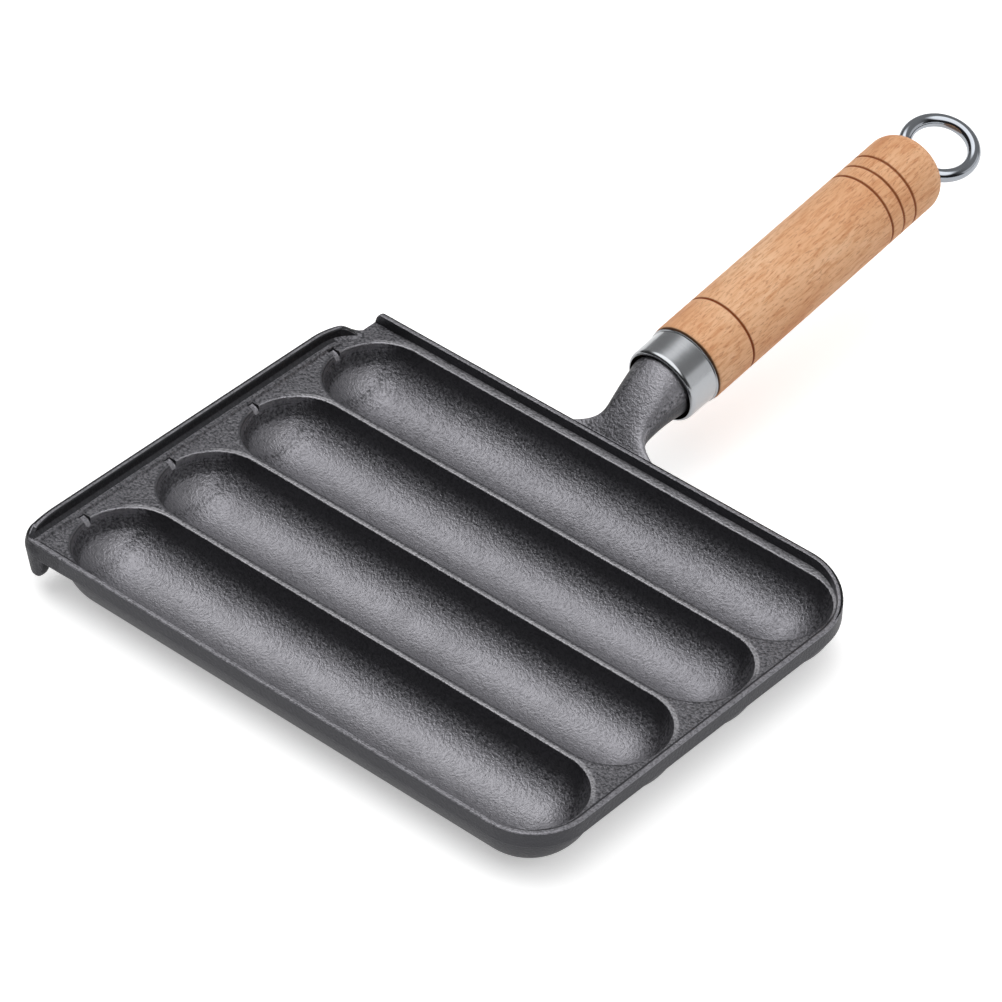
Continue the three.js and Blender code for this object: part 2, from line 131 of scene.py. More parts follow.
class PanSizes(bpy.types.PropertyGroup):
    """Sizes of the iron pan."""
    trough_count: IntProperty(name="Troughs", description="Number of troughs", default=4, min=1)
    trough_pitch: length("Trough pitch", 36.5, "From one trough to the next")
    trough_length: length("Trough length", 190.3, "From end to end at the mouth")
    trough_width: length("Trough width", 34.2, "Across the mouth")
    trough_depth: length("Trough depth", 14.5, "From the plate to the floor")
    trough_flat: length("Trough flat", 0.6, "Narrow flat along the floor")
    mouth_round: length("Mouth rounding", 0.6, "Radius of the edge around a trough")
    floor_wall: length("Floor wall", 4.8, "Iron under the floor of a trough")
    shell_flare: length("Shell flare", 2.0, "How far a shell stands outside its mouth")
    foot_width: length("Foot width", 8, "Flat strip on which the mould stands")
    notch_width: length("Notch width", 3.0, "Stick notch at the left end of a trough")
    notch_depth: length("Notch depth", 2.2, "Depth of a stick notch")
    notch_reach: length("Notch reach", 2.5, "How far a stick notch runs into the land")
    plate_thickness: length("Plate thickness", 4.8, "Thickness of the plate")
    front_land: length("Front land", 2.2, "From the front trough to the front edge")
    right_land: length("Right land", 3.2, "From the trough ends to the right edge")
    back_land: length("Back land", 2.9, "From the back trough to the back wall")
    left_land: length("Left land", 5.3, "From the trough ends to the lip")
    bead_height: length("Bead height", 0.9, "Bead along the front and right edges")
    bead_width: length("Bead width", 1.65, "Bead along the front and right edges")
    bead_fillet: length("Bead fillet", 1.3, "Slope at the foot of the bead and the back wall")
    wall_height: length("Wall height", 3.45, "Back wall above the plate")
    wall_thickness: length("Wall thickness", 2.4, "Thickness of the back wall")
    front_right_radius: length("Front right radius", 19, "Corner of the plan")
    back_right_radius: length("Back right radius", 24, "Corner of the plan")
    front_left_radius: length("Front left radius", 5, "Corner of the plan")
    back_left_radius: length("Back left radius", 24, "Corner of the plan")
    tab_inset: length("Tab inset", 6.5, "Bare edge beside the back wall, from the lip")
    tab_length: length("Tab length", 8, "Length of the bare edge")
    wall_nose: length("Wall nose", 2.3, "Rounded left end of the back wall")
    lip_thickness: length("Lip thickness", 3.35, "Lip along the left side")
    lip_draft: length("Lip draft", 1.1, "The lip is thinner at its top by this")
    hook_drop: length("Hook drop", 13, "From the plate to the tip of the hook")
    hook_curl: length("Hook curl", 0.9, "How far the tip leans inwards")
    hook_fillet: length("Hook fillet", 2.8, "Between the hook and the underside")
    hook_end: length("Hook end", 3.6, "Rounded end of the hook along the front")
    lip_bulge: length("Lip bulge", 1.15, "The outer face of the lip swells by this")
    lip_fall: length("Lip fall", 9, "Length over which the lip sinks to the front corner")
    web_depth: length("Web depth", 0.6, "The edge beside the hook is deeper by this")
    web_length: length("Web length", 22, "Length of the deeper edge beside the hook")
    ledge_height: length("Ledge height", 0.8, "Step at the foot of the lip")
    ledge_width: length("Ledge width", 2.5, "Step at the foot of the lip")
    top_bareness: amount("Top bareness", 0.45, "Finish of the plate, from black to bare")
    # The most painted light on the neck, on its faces that turn up and to the right
    neck_bare_and_lit: amount("Neck bareness", 1.15, "Finish of the neck, from black to bare")


class HandleSizes(bpy.types.PropertyGroup):
    """Sizes of the neck and the handle; stations run along the axis from the back wall."""
    offset: length("Offset", -0.7, "Axis beside the middle of the pan")
    rise: length("Rise", 7, "Axis above the plate, at the back wall")
    tilt: turn("Tilt", 8.4, "Slope of the axis")
    neck_reach: length("Neck reach", 22.6, "From the back wall to the ferrule")
    neck_root_width: length("Neck root width", 36, "Where the neck leaves the wall")
    neck_root_height: length("Neck root height", 6.4, "Where the neck leaves the wall")
    neck_waist: length("Neck waist", 16, "Narrowest width")
    neck_mouth: length("Neck mouth", 21.4, "Diameter at the ferrule")
    neck_fillet: length("Neck fillet", 9, "Length over which the root spreads")
    neck_bend: length("Neck bend", 11, "Length over which the neck bends into the axis")
    boss_length: length("Boss length", 4.7, "Part of the neck inside the ferrule")
    rod_diameter: length("Rod diameter", 5, "Tie rod through the grip")
    rod_grip: length("Rod grip", 10, "Depth of the rod in the boss")
    clearance: length("Clearance", 0.3, "Gap between neighbours")
    ferrule_length: length("Ferrule length", 12, "Steel ring at the neck")
    ferrule_front: length("Ferrule front", 25.8, "Diameter at the neck")
    ferrule_back: length("Ferrule back", 26.2, "Diameter at the grip")
    ferrule_sheet: length("Ferrule sheet", 0.7, "Thickness of the steel")
    ferrule_lip: length("Ferrule lip", 1.5, "Length of the turned-in edge")
    ferrule_roll: length("Ferrule roll", 1.0, "How far the front edge turns in")
    grip_length: length("Grip length", 114, "From the shoulder to the end")
    grip_diameter: length("Grip diameter", 27.3, "Turned wood")
    grip_shoulder: length("Grip shoulder", 1.1, "Rounding at the front")
    grip_end: length("Grip end", 7.5, "Rounding at the end")
    groove_width: length("Groove width", 1.3, "Burnt groove")
    groove_depth: length("Groove depth", 0.45, "Burnt groove")
    first_groove: length("First groove", 16.3, "From the shoulder")
    last_groove: length("Last groove", 17.5, "From the end")
    tail_pitch: length("Tail pitch", 5.75, "Between the grooves near the end")
    tail_grooves: IntProperty(name="Tail grooves", description="Grooves near the end", default=3)
    eye_radius: length("Eye radius", 11.15, "Middle of the wire")
    eye_wire: length("Eye wire", 4.4, "Thickness of the wire")
    eye_roll: turn("Eye roll", 15, "Turn of the eye about the axis")
    eye_offset: length("Eye offset", 1.5, "The bent eye stands beside the rod")
    eye_seat: length("Eye seat", 3.5, "Depth of the eye's foot in the wood")


class Finishes(bpy.types.PropertyGroup):
    """Colours of the materials."""
    iron: colour("Iron", 146, 145, 150, "Bare cast iron in the troughs")
    # Worn edges of the troughs, and painted highlights on the trough floors, ends and mouth edges
    iron_worn_and_lit: colour("Worn iron", 190, 189, 193, "Rubbed edges of the troughs")
    # Black iron of the outside, and painted shade on the skirts and beside the trough mouths
    iron_black_and_shade: colour("Dark iron", 70, 70, 73, "Blackened iron of the outside")
    # Painted shade on the outer faces of the wall and lip, at the foot of the lip, under the hook and
    # in the notches
    iron_shade: colour("Sooty iron", 30, 30, 32, "Outer edges of the rim")
    wood: colour("Wood", 229, 177, 135, "Turned beech")
    wood_light: colour("Light wood", 239, 195, 156, "Pale patches of the beech")
    wood_dark: colour("Dark wood", 206, 142, 97, "Dark patches of the beech")
    fleck: colour("Fleck", 158, 84, 42, "Short rays in the beech")
    burnt: colour("Burnt wood", 128, 56, 18, "Grooves")
    # A dark band on the wood just behind the ferrule
    char: colour("Charred wood", 44, 23, 14, "Shoulder behind the ferrule")
    steel: colour("Steel", 168, 170, 173, "Ferrule")
    chrome: colour("Chrome", 156, 160, 166, "Hanging eye")


class Studio(bpy.types.PropertyGroup):
    """Camera and light."""
    focal_length: FloatProperty(name="Focal length", description="Camera lens in mm", default=191.72)
    azimuth: turn("Azimuth", 39.818, "Camera round the mould")
    elevation: turn("Elevation", 39.308, "Camera above the floor")
    roll: turn("Roll", 2, "Camera about its own axis")
    distance: length("Distance", 1591.43, "Camera to its target")
    target: FloatVectorProperty(
        name="Target", description="Point that the camera looks at", subtype="XYZ",
        default=(-0.0082574, -0.0514206, 0.0193))
    softbox: amount("Softbox", 2.35, "Light of the panel overhead")
    window: amount("Window", 0.65, "Light of the low panel behind")
    walls: amount("Walls", 0.04, "Light of the room in front")
    back_wall: amount("Back wall", 0.36, "Light of the room behind")
    floor_glow: amount("Floor glow", 0.45, "Brightening of the floor")


# Nodes


class Socket:
    """One output of a node, which takes part in sums."""

    def __init__(self, graph, end):
        self.graph = graph
        self.end = end

    def other(self, name):
        return Socket(self.graph, self.end.node.outputs[name])

    def __add__(self, value):
        return self.graph.sum("ADD", self, value)

    def __sub__(self, value):
        return self.graph.sum("SUBTRACT", self, value)

    def __rsub__(self, value):
        return self.graph.sum("SUBTRACT", value, self)

    def __mul__(self, value):
        return self.graph.sum("MULTIPLY", self, value)

    def __abs__(self):
        return self.graph.sum("ABSOLUTE", self)

    __radd__ = __add__
    __rmul__ = __mul__


class Graph:
    """Adds nodes to one tree."""

    def __init__(self, tree):
        self.tree = tree
        tree.nodes.clear()

    def node(self, kind, settings=None, inputs=None, output=0):
        made = self.tree.nodes.new(kind)
        for key, value in (settings or {}).items():
            setattr(made, key, value)
        for key, value in (inputs or {}).items():
            for item in value if isinstance(value, list) else [value]:
                if isinstance(item, Socket):
                    self.tree.links.new(item.end, made.inputs[key])
                else:
                    made.inputs[key].default_value = item
        return Socket(self, made.outputs[output]) if made.outputs else None

    def sum(self, operation, *terms):
        return self.node("ShaderNodeMath", {"operation": operation}, dict(enumerate(terms)))

    def lowest(self, *terms):
        least = terms[0]
        for term in terms[1:]:
            least = self.sum("MINIMUM", least, term)
        return least

    def rise(self, value, low, high):
        """0 below low and 1 above high, with a smooth step between them."""
        return self.node(
            "ShaderNodeMapRange", {"interpolation_type": "SMOOTHSTEP"},
            {"Value": value, "From Min": low, "From Max": high})

    def blend(self, share, first, second):
        return self.node(
            "ShaderNodeMix", {"data_type": "RGBA"}, {0: share, 6: first, 7: second}, output=2)

    def stretch(self, place, x, y, z):
        return self.node("ShaderNodeVectorMath", {"operation": "MULTIPLY"}, {0: place, 1: (x, y, z)})

    def noise(self, place, scale, detail=2.0, roughness=0.5, distortion=0.0):
        return self.node("ShaderNodeTexNoise", {}, {
            "Vector": place, "Scale": scale, "Detail": detail, "Roughness": roughness,
            "Distortion": distortion})

    def bump(self, strength, distance, height):
        return self.node(
            "ShaderNodeBump", {}, {"Strength": strength, "Distance": distance, "Height": height})

    def boolean(self, operation, inputs):
        return self.node(
            "GeometryNodeMeshBoolean", {"operation": operation, "solver": "MANIFOLD"}, inputs)

    def shape_of(self, obj):
        return self.node("GeometryNodeObjectInfo", {}, {"Object": obj}, "Geometry")

    def surface(self, sockets):
        shader = self.node("ShaderNodeBsdfPrincipled", {}, sockets)
        self.node("ShaderNodeOutputMaterial", {}, {"Surface": shader})


def rgba(value):
    return (*value, 1.0)


def new_material(name):
    material = bpy.data.materials.new(name)
    material.use_nodes = True
    return material, Graph(material.node_tree)


def geometry_graph(name, inputs):
    """A geometry tree with named inputs, and the socket of its incoming geometry."""
    tree = bpy.data.node_groups.new(name, "GeometryNodeTree")
    tree.interface.new_socket("Geometry", in_out="INPUT", socket_type="NodeSocketGeometry")
    for label, kind in inputs.items():
        tree.interface.new_socket(label, in_out="INPUT", socket_type=kind)
    tree.interface.new_socket("Geometry", in_out="OUTPUT", socket_type="NodeSocketGeometry")
    graph = Graph(tree)
    return graph, graph.node("NodeGroupInput")


def close_graph(graph, source, geometry):
    """Every tree ends in plain, smooth faces of one material."""
    real = graph.node("GeometryNodeRealizeInstances", {}, {"Geometry": geometry})
    smooth = graph.node("GeometryNodeSetShadeSmooth", {}, {"Geometry": real})
    painted = graph.node(
        "GeometryNodeSetMaterial", {}, {"Geometry": smooth, "Material": source.other("Material")})
    graph.node("NodeGroupOutput", {}, {"Geometry": painted})


def run_graph(obj, graph, values):
    modifier = obj.modifiers.new(graph.tree.name, "NODES")
    modifier.node_group = graph.tree
    for item in graph.tree.interface.items_tree:
        if item.in_out == "INPUT" and item.name in values:
            modifier[item.identifier] = values[item.name]
    to_plain_mesh(obj)
    bpy.data.node_groups.remove(graph.tree)


# Meshes


def new_object(name, points, edges, faces):
    mesh = bpy.data.meshes.new(name)
    mesh.from_pydata([tuple(p) for p in points], edges, faces)
    obj = bpy.data.objects.new(name, mesh)
    bpy.context.scene.collection.objects.link(obj)
    return obj


def to_plain_mesh(obj):
    depsgraph = bpy.context.evaluated_depsgraph_get()
    mesh = bpy.data.meshes.new_from_object(obj.evaluated_get(depsgraph))
    if not mesh.polygons:
        raise RuntimeError(f"{obj.name} came out empty")
    obj.modifiers.clear()
    old, obj.data = obj.data, mesh
    bpy.data.meshes.remove(old)
    mesh.name = obj.name


def discard(*objects):
    for obj in objects:
        mesh = obj.data
        bpy.data.objects.remove(obj)
        bpy.data.meshes.remove(mesh)


def solid(name, rings):
    """A closed skin over a row of rings with equal numbers of points, and flat ends."""
    count = len(rings[0])
    faces = []
    for row in range(len(rings) - 1):
        for i in range(count):
            a = row * count + i
            b = row * count + (i + 1) % count
            faces.append((a, b, b + count, a + count))
    last = (len(rings) - 1) * count
    faces.append(tuple(reversed(range(count))))
    faces.append(tuple(range(last, last + count)))
    obj = new_object(name, np.concatenate(rings), [], faces)
    tidy = bmesh.new()
    tidy.from_mesh(obj.data)
    if tidy.calc_volume(signed=True) < 0:
        bmesh.ops.reverse_faces(tidy, faces=tidy.faces)
    tidy.to_mesh(obj.data)
    tidy.free()
    return obj


def rounded(corners, steps=ROUND_STEPS):
    """A closed outline from (x, y, radius) corners, each drawn as an arc."""
    places = [np.array(c[:2]) for c in corners]
    outline = []
    for i, (x, y, radius) in enumerate(corners):
        here = places[i]
        before = places[i - 1] - here
        after = places[(i + 1) % len(places)] - here
        room = CORNER_SHARE * min(np.linalg.norm(before), np.linalg.norm(after))
        before /= np.linalg.norm(before)
        after /= np.linalg.norm(after)
        half = math.acos(np.clip(before @ after, -1, 1)) / 2
        reach = min(radius / math.tan(half), room)
        middle = before + after
        centre = here + middle / np.linalg.norm(middle) * reach / math.cos(half)
        start = here + before * reach - centre
        end = here + after * reach - centre
        first = math.atan2(start[1], start[0])
        sweep = math.atan2(start[0] * end[1] - start[1] * end[0], start @ end)
        size = np.linalg.norm(start)
        for angle in first + sweep * np.linspace(0, 1, steps + 1):
            outline.append(centre + size * np.array([math.cos(angle), math.sin(angle)]))
    return np.array(outline)


def smoothstep(t):
    t = min(max(t, 0.0), 1.0)
    return t * t * (3 - 2 * t)


def mix(a, b, t):
    return a + (b - a) * t


def deliver(obj, node):
    """Marks the sharp edges and hands the piece over in place of its CAD node."""
    obj.data.set_sharp_from_angle(angle=SHARP_ANGLE)
    weigh = obj.modifiers.new("weigh", "WEIGHTED_NORMAL")
    weigh.keep_sharp = True
    to_plain_mesh(obj)
    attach(obj, "root")
    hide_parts(node)


# Pan


def plan_corner(x, y, radius, start, end):
    turns = np.linspace(0, 1, CORNER_STEPS + 1)
    angles = np.radians(mix(start, end, turns))
    return [
        SimpleNamespace(
            at=np.array([x + radius * math.cos(a), y + radius * math.sin(a)]),
            out=np.array([math.cos(a), math.sin(a)]), turn=t, radius=radius)
        for a, t in zip(angles, turns)
    ]


def pan_plan(s):
    """Places that follow from the sizes, with the top of the plate at height 0."""
    field = ((s.trough_count - 1) * s.trough_pitch + s.trough_width) / 2
    p = SimpleNamespace()
    p.front = -field - s.front_land
    p.back = field + s.back_land + s.wall_thickness
    p.half = (s.lip_thickness + s.left_land + s.trough_length + s.right_land) / 2
    p.field_x = p.half - s.right_land - s.trough_length / 2
    p.first_y = -(s.trough_count - 1) / 2 * s.trough_pitch
    p.tab = np.array([-p.half + s.tab_inset, p.back])
    tab_angle = math.degrees(math.acos(1 - s.tab_inset / s.back_left_radius))
    arc_y = p.back - s.tab_length - s.back_left_radius * math.sin(math.radians(tab_angle))
    p.front_left = plan_corner(
        -p.half + s.front_left_radius, p.front + s.front_left_radius, s.front_left_radius, 180, 270)
    p.front_right = plan_corner(
        p.half - s.front_right_radius, p.front + s.front_right_radius, s.front_right_radius, 270, 360)
    p.back_right = plan_corner(
        p.half - s.back_right_radius, p.back - s.back_right_radius, s.back_right_radius, 0, 90)
    p.back_left = plan_corner(
        -p.half + s.back_left_radius, arc_y, s.back_left_radius, 180 - tab_angle, 180)
    low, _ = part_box("pan_casting")
    p.place = Vector((0, low.y - p.front, low.z + s.trough_depth + s.floor_wall))
    return p


def trough_arc(half_width, depth, flat_width, top, end=0.0):
    """Half section from the flat up to the mouth; end is left off along the arc."""
    flat = flat_width / 2
    rise = (half_width ** 2 - flat ** 2 - depth ** 2) / (2 * depth)
    radius = math.hypot(half_width, rise)
    mouth = math.atan2(half_width, rise)
    angles = np.linspace(math.atan2(flat, rise + depth), mouth - end / radius, ARC_STEPS + 1)
    return [(radius * math.sin(a), top + rise - radius * math.cos(a)) for a in angles], mouth


def stadium(s, p, name, section):
    """A solid whose level sections are stadiums, from (radius, height) pairs."""
    straight = (s.trough_length - s.trough_width) / 2
    angles = np.linspace(-math.pi / 2, math.pi / 2, END_STEPS + 1)
    angles = np.concatenate([angles, angles + math.pi])
    shift = np.repeat([straight, -straight], END_STEPS + 1)
    rings = []
    for r, z in section:
        x, y = p.field_x + shift + r * np.cos(angles), r * np.sin(angles)
        rings.append(np.stack([x, y, np.full(len(angles), z)], 1))
    return solid(name, rings)


def trough_shell(s, p):
    top = -s.plate_thickness
    half = s.trough_width / 2 + s.shell_flare
    section, _ = trough_arc(half, s.trough_depth + s.floor_wall + top, s.foot_width, top)
    return stadium(s, p, "shell", [*section, (half, top / 2)])


def trough_hollow(s, p):
    """The hollow flares at its mouth, which leaves the edge of the iron rounded."""
    half = s.trough_width / 2
    _, mouth = trough_arc(half, s.trough_depth, s.trough_flat, 0)
    reach = s.mouth_round / math.tan((math.pi - mouth) / 2)
    section, _ = trough_arc(half, s.trough_depth, s.trough_flat, 0, reach)
    nearly_level = math.radians(97)
    for angle in np.linspace(math.pi / 2 + mouth, nearly_level, ROUND_STEPS + 2)[1:]:
        section.append((
            half + reach + s.mouth_round * math.cos(angle), s.mouth_round * (math.sin(angle) - 1)))
    section.append((section[-1][0], s.wall_height))
    return stadium(s, p, "hollow", section)


def stick_notch(s, p):
    """A short ramp from the ledge down into the trough, steeper inside the edge."""
    end = p.field_x - s.trough_length / 2
    above, flare = s.wall_height, 0.25
    wide, narrow = s.notch_width / 2 + flare * above, s.notch_width / 2 - flare * s.notch_depth
    edge, bottom = 0.1 * MM, 0.5 * MM
    rings = []
    for x, share in ((-s.notch_reach, 0.25), (-0.6 * MM, 0.5), (s.notch_reach, 2.0)):
        depth = share * s.notch_depth
        outline = rounded([
            (-wide, above, edge), (-narrow, -depth, bottom),
            (narrow, -depth, bottom), (wide, above, edge)])
        rings.append(np.stack([np.full(len(outline), end + x), outline[:, 0], outline[:, 1]], 1))
    return solid("notch", rings)


def plate(s, p):
    inside = 0.3 * MM
    points = [c.at - c.out * inside for c in [*p.front_left, *p.front_right, *p.back_right]]
    points.append(p.tab - np.array([0, TINY]))
    points.extend(c.at - c.out * SHARP for c in p.back_left)
    points = np.array(points)
    rings = [
        np.column_stack([points, np.full(len(points), z)]) for z in (-s.plate_thickness, 0.0)
    ]
    return solid("cast_pan", rings)


def sweep(name, stations, sections):
    """A rim along the plan, from outlines of (distance inwards, height)."""
    rings = []
    for station, section in zip(stations, sections):
        flat = station.at - station.out * section[:, :1]
        rings.append(np.column_stack([flat, section[:, 1]]))
    return solid(name, rings)


def edge_section(s, height, thickness, outer, fillet=SHARP, web=0.0):
    """Section of the bead or the back wall; no three corners may lie on one line."""
    step, sunk, bottom_round = 0.07 * MM, 0.1 * MM, 0.8 * MM
    below = -s.plate_thickness + SHARP
    bottom = below - (web + step)
    inner = min(0.5 * MM, height * 0.5)
    foot = thickness + fillet
    fillet_top = min(height * 0.4, 0.36 * MM)
    return rounded([
        (0, bottom, bottom_round), (thickness, bottom, SHARP), (foot, below, TINY),
        (foot, -sunk, TINY), (thickness, fillet_top, SHARP),
        (thickness - SHARP, height, inner), (0, height, outer)])


def bead_and_wall(s, p):
    """Bead along the front and right edges, which grows into the back wall round the corner."""
    bead_round, wall_round, least_height = 0.6 * MM, 1.3 * MM, 0.03 * MM
    bead = lambda web: edge_section(s, s.bead_height, s.bead_width, bead_round, s.bead_fillet, web)
    first = p.front_left[-1]
    stations = [
        SimpleNamespace(at=first.at + np.array([share * s.web_length, 0]), out=first.out)
        for share in (0, 0.5, 1)
    ]
    sections = [bead(s.web_depth), bead(0.8 * s.web_depth), bead(0)]
    stations.extend(p.front_right)
    sections.extend([bead(0)] * len(p.front_right))
    for c in p.back_right:
        grown = smoothstep(c.turn)
        stations.append(c)
        sections.append(edge_section(
            s, mix(s.bead_height, s.wall_height, grown), mix(s.bead_width, s.wall_thickness, grown),
            mix(bead_round, wall_round, grown), mix(s.bead_fillet, SHARP, smoothstep(2 * c.turn))))
    back = np.array([0.0, 1.0])
    for share in np.sin(np.linspace(0, math.pi / 2, NOSE_STEPS + 1)):
        x = p.tab[0] + s.wall_nose * (1 - share)
        height = max(s.wall_height * math.sqrt(1 - share ** 2), least_height)
        stations.append(SimpleNamespace(at=np.array([x, p.back]), out=back))
        sections.append(edge_section(s, height, s.wall_thickness, min(wall_round, height)))
    return sweep("rim", stations, sections)


def lip_section(s, height, thickness, room, drop, bulge):
    """The low wall above the plate and the hook that hangs below it."""
    extra, sunk, lean = 0.4 * MM, 0.3 * MM, 0.25 * MM
    tip_round, inner_round, outer_round, side_round = 1.3 * MM, 0.5 * MM, 1.9 * MM, 6 * MM
    tip = min(s.hook_curl + s.lip_thickness + extra, room)
    inner = min(s.lip_thickness + s.hook_fillet, room)
    top = thickness - s.lip_draft * height / s.wall_height
    middle, under = -s.plate_thickness / 2, -s.plate_thickness + 0.1 * MM
    return rounded([
        (s.hook_curl, -drop, tip_round),
        (tip, -drop, tip_round),
        (min(s.lip_thickness, room - extra), under, s.hook_fillet),
        (inner, under, SHARP),
        (inner, middle, SHARP),
        (thickness, -sunk, SHARP),
        (top, height, inner_round),
        (lean - bulge / 3, height, min(outer_round, height)),
        (-bulge, middle, side_round),
    ])


def lip(s, p):
    """The lip rises out of the back corner, sinks round the front one and ends in a rounded nose."""
    stations, sections = [], []
    fade = 0.45    # share of the back corner over which the lip rises
    kept = 0.6     # height at the front corner, from the bead's at 0 to the wall's at 1
    least_height, least_skin, inside = 0.1 * MM, 0.9 * MM, 0.6 * MM

    def add(station, height, thickness, room, drop, bulge):
        stations.append(station)
        sections.append(lip_section(s, height, thickness, room, drop, bulge))

    for c in p.back_left:
        grown = smoothstep(c.turn / fade)
        height = max(s.wall_height * grown, least_height)
        add(c, height, s.lip_thickness, c.radius, s.hook_drop, s.lip_bulge * grown)
    room = s.front_left_radius - inside
    corner_height = mix(s.bead_height, s.wall_height, kept)
    first, last = p.front_left[0], p.front_left[-1]
    for share in np.linspace(0, 1, NOSE_STEPS + 1)[:-1]:
        along = np.array([0, (1 - share) * s.lip_fall])
        height = mix(s.wall_height, corner_height, share * share)
        add(SimpleNamespace(at=first.at + along, out=first.out), height, s.lip_thickness, room,
            s.hook_drop, s.lip_bulge)
    for c in p.front_left:
        turned = smoothstep(c.turn)
        add(c, mix(corner_height, s.bead_height, 1 - (1 - c.turn) ** 2),
            mix(s.lip_thickness, s.bead_width, turned), room, s.hook_drop,
            s.lip_bulge * (1 - 0.5 * turned))
    for share in np.linspace(0, 1, NOSE_STEPS + 1)[1:]:
        along = np.array([share * s.hook_end, 0])
        add(SimpleNamespace(at=last.at + along, out=last.out), s.bead_height, s.bead_width, room,
            mix(s.plate_thickness + least_skin, s.hook_drop, math.sqrt(1 - share ** 2)),
            s.lip_bulge * 0.5 * (1 - smoothstep(share)) - SHARP * share)
    return sweep("lip", stations, sections)


def ledge(s, p):
    """A step at the foot of the lip, which fades round the back corner."""
    hidden, sunk, edge_round, foot_round = 1.0 * MM, 0.15 * MM, 0.2 * MM, 0.3 * MM
    near, far = s.lip_thickness - hidden, s.lip_thickness + s.ledge_width
    slope, lip_slope, fade = 0.4 * MM, 0.7 * MM, 0.7
    below = -s.plate_thickness / 2
    front = SimpleNamespace(
        at=np.array([-p.half, p.front + s.bead_width / 2]), out=np.array([-1.0, 0.0]))
    heights = [mix(-SHARP, s.ledge_height, smoothstep(c.turn / fade)) for c in p.back_left]
    sections = [
        rounded([
            (near, below, SHARP), (far + slope, below, SHARP), (far + slope, -sunk, TINY),
            (far - edge_round, height, edge_round), (near + 2 * hidden, height, foot_round),
            (near, height + lip_slope, SHARP)])
        for height in [*heights, s.ledge_height]
    ]
    return sweep("ledge", [*p.back_left, front], sections)


def neck_ring(h, y, z, half_width, half_height, tilt, squareness):
    angles = 2 * math.pi * np.arange(NECK_SIDES) / NECK_SIDES
    bulge = lambda v: np.sign(v) * np.abs(v) ** (2 / squareness)
    up = half_height * bulge(np.cos(angles))
    side = half_width * bulge(np.sin(angles))
    return np.stack([h.offset + side, y - up * math.sin(tilt), z + up * math.cos(tilt)], 1)


def neck(s, p, h):
    """The neck rises from the back wall, narrows to a waist and flares to the ferrule."""
    on_axis = lambda station: np.array(
        [p.back + station * math.cos(h.tilt), h.rise + station * math.sin(h.tilt)])
    root_half = h.neck_root_height / 2
    start = np.array([p.back, s.wall_height - h.clearance - root_half])
    bend, end = on_axis(h.neck_reach - h.neck_bend), on_axis(h.neck_reach)
    rings = [neck_ring(
        h, p.back - s.wall_thickness / 2, start[1], h.neck_root_width / 2, root_half, 0,
        NECK_SQUARENESS)]
    for t in np.linspace(0, 1, NECK_STEPS + 1):
        y, z = (1 - t) ** 2 * start + 2 * t * (1 - t) * bend + t ** 2 * end
        fillet = max(0.0, 1 - (y - p.back) / h.neck_fillet) ** 3
        waist = mix(h.neck_waist, h.neck_mouth, t ** 1.5) / 2
        rings.append(neck_ring(
            h, y, z, mix(waist, h.neck_root_width / 2, fillet),
            mix(root_half, h.neck_mouth / 2, t), h.tilt * t, mix(NECK_SQUARENESS, 2, math.sqrt(t))))
    boss = on_axis(h.neck_reach + h.boss_length)
    rings.append(neck_ring(h, *boss, h.neck_mouth / 2, h.neck_mouth / 2, h.tilt, 2))
    return solid("neck", rings)


def casting_graph():
    """Joins the rim and a row of shells to the plate, and cuts a row of hollows."""
    graph, source = geometry_graph("Casting", {
        "Rim": "NodeSocketCollection", "Shell": "NodeSocketObject", "Hollow": "NodeSocketObject",
        "Notch": "NodeSocketObject", "Count": "NodeSocketInt", "Pitch": "NodeSocketFloat",
        "First": "NodeSocketFloat", "Material": "NodeSocketMaterial"})
    along = lambda value: graph.node("ShaderNodeCombineXYZ", {}, {"Y": value})
    row = graph.node("GeometryNodeMeshLine", {}, {
        "Count": source.other("Count"), "Start Location": along(source.other("First")),
        "Offset": along(source.other("Pitch"))})

    def repeated(label):
        shape = graph.shape_of(source.other(label))
        return graph.node("GeometryNodeInstanceOnPoints", {}, {"Points": row, "Instance": shape})

    rim = graph.node("GeometryNodeCollectionInfo", {}, {
        "Collection": source.other("Rim"), "Separate Children": True})
    whole = graph.boolean("UNION", {1: [source, rim, repeated("Shell")]})
    cut = graph.boolean("DIFFERENCE", {0: whole, 1: [repeated("Hollow"), repeated("Notch")]})
    close_graph(graph, source, cut)
    return graph


def trough_distance(s, p, x, y):
    """Distance from the middle line of the nearest trough, distance across it, and its number."""
    lane = np.clip(np.round((y - p.first_y) / s.trough_pitch), 0, s.trough_count - 1)
    straight = (s.trough_length - s.trough_width) / 2
    across = y - p.first_y - lane * s.trough_pitch
    along = x - p.field_x
    return np.hypot(along - np.clip(along, -straight, straight), across), across, lane


